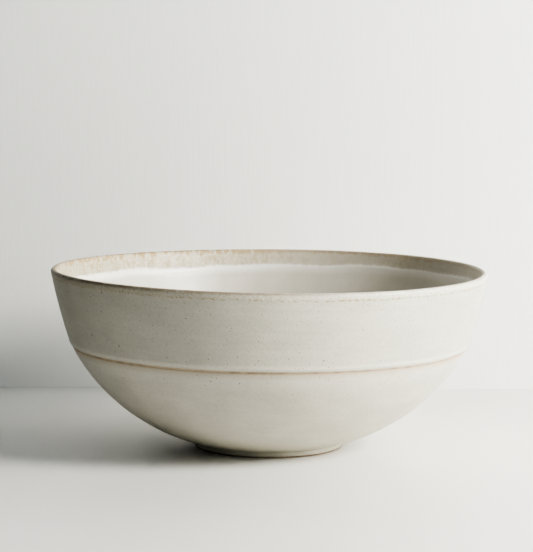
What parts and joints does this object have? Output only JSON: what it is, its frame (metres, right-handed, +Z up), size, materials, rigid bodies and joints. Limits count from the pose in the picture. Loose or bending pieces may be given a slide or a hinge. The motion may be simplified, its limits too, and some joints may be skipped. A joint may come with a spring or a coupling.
{
  "type": "serving bowl",
  "caption": "Round footed serving bowl in glazed stoneware: rounded belly, bare ridge line, flaring upper wall and thin rim, on a low foot ring.",
  "frame": {"origin": "on the bowl's axis, in the plane the foot ring stands on", "axes": "+Z up along the bowl's axis; the bowl is round, so X and Y are free"},
  "size_m": [0.28, 0.28, 0.115],
  "materials": {
    "bare_clay": "unglazed, matt, slightly gritty",
    "liner_glaze": "satin, smooth",
    "rim_glaze": "satin, breaking to brown on the lip",
    "speckled_glaze": "satin, finely speckled"
  },
  "bodies": {
    "root": {"belly": "bare_clay", "upper_wall": "bare_clay", "foot_ring": "bare_clay", "inner_glaze": "liner_glaze", "rim_glaze": "rim_glaze", "wall_glaze": "speckled_glaze", "belly_glaze": "speckled_glaze", "foot_well_glaze": "liner_glaze"}
  },
  "joints": []
}
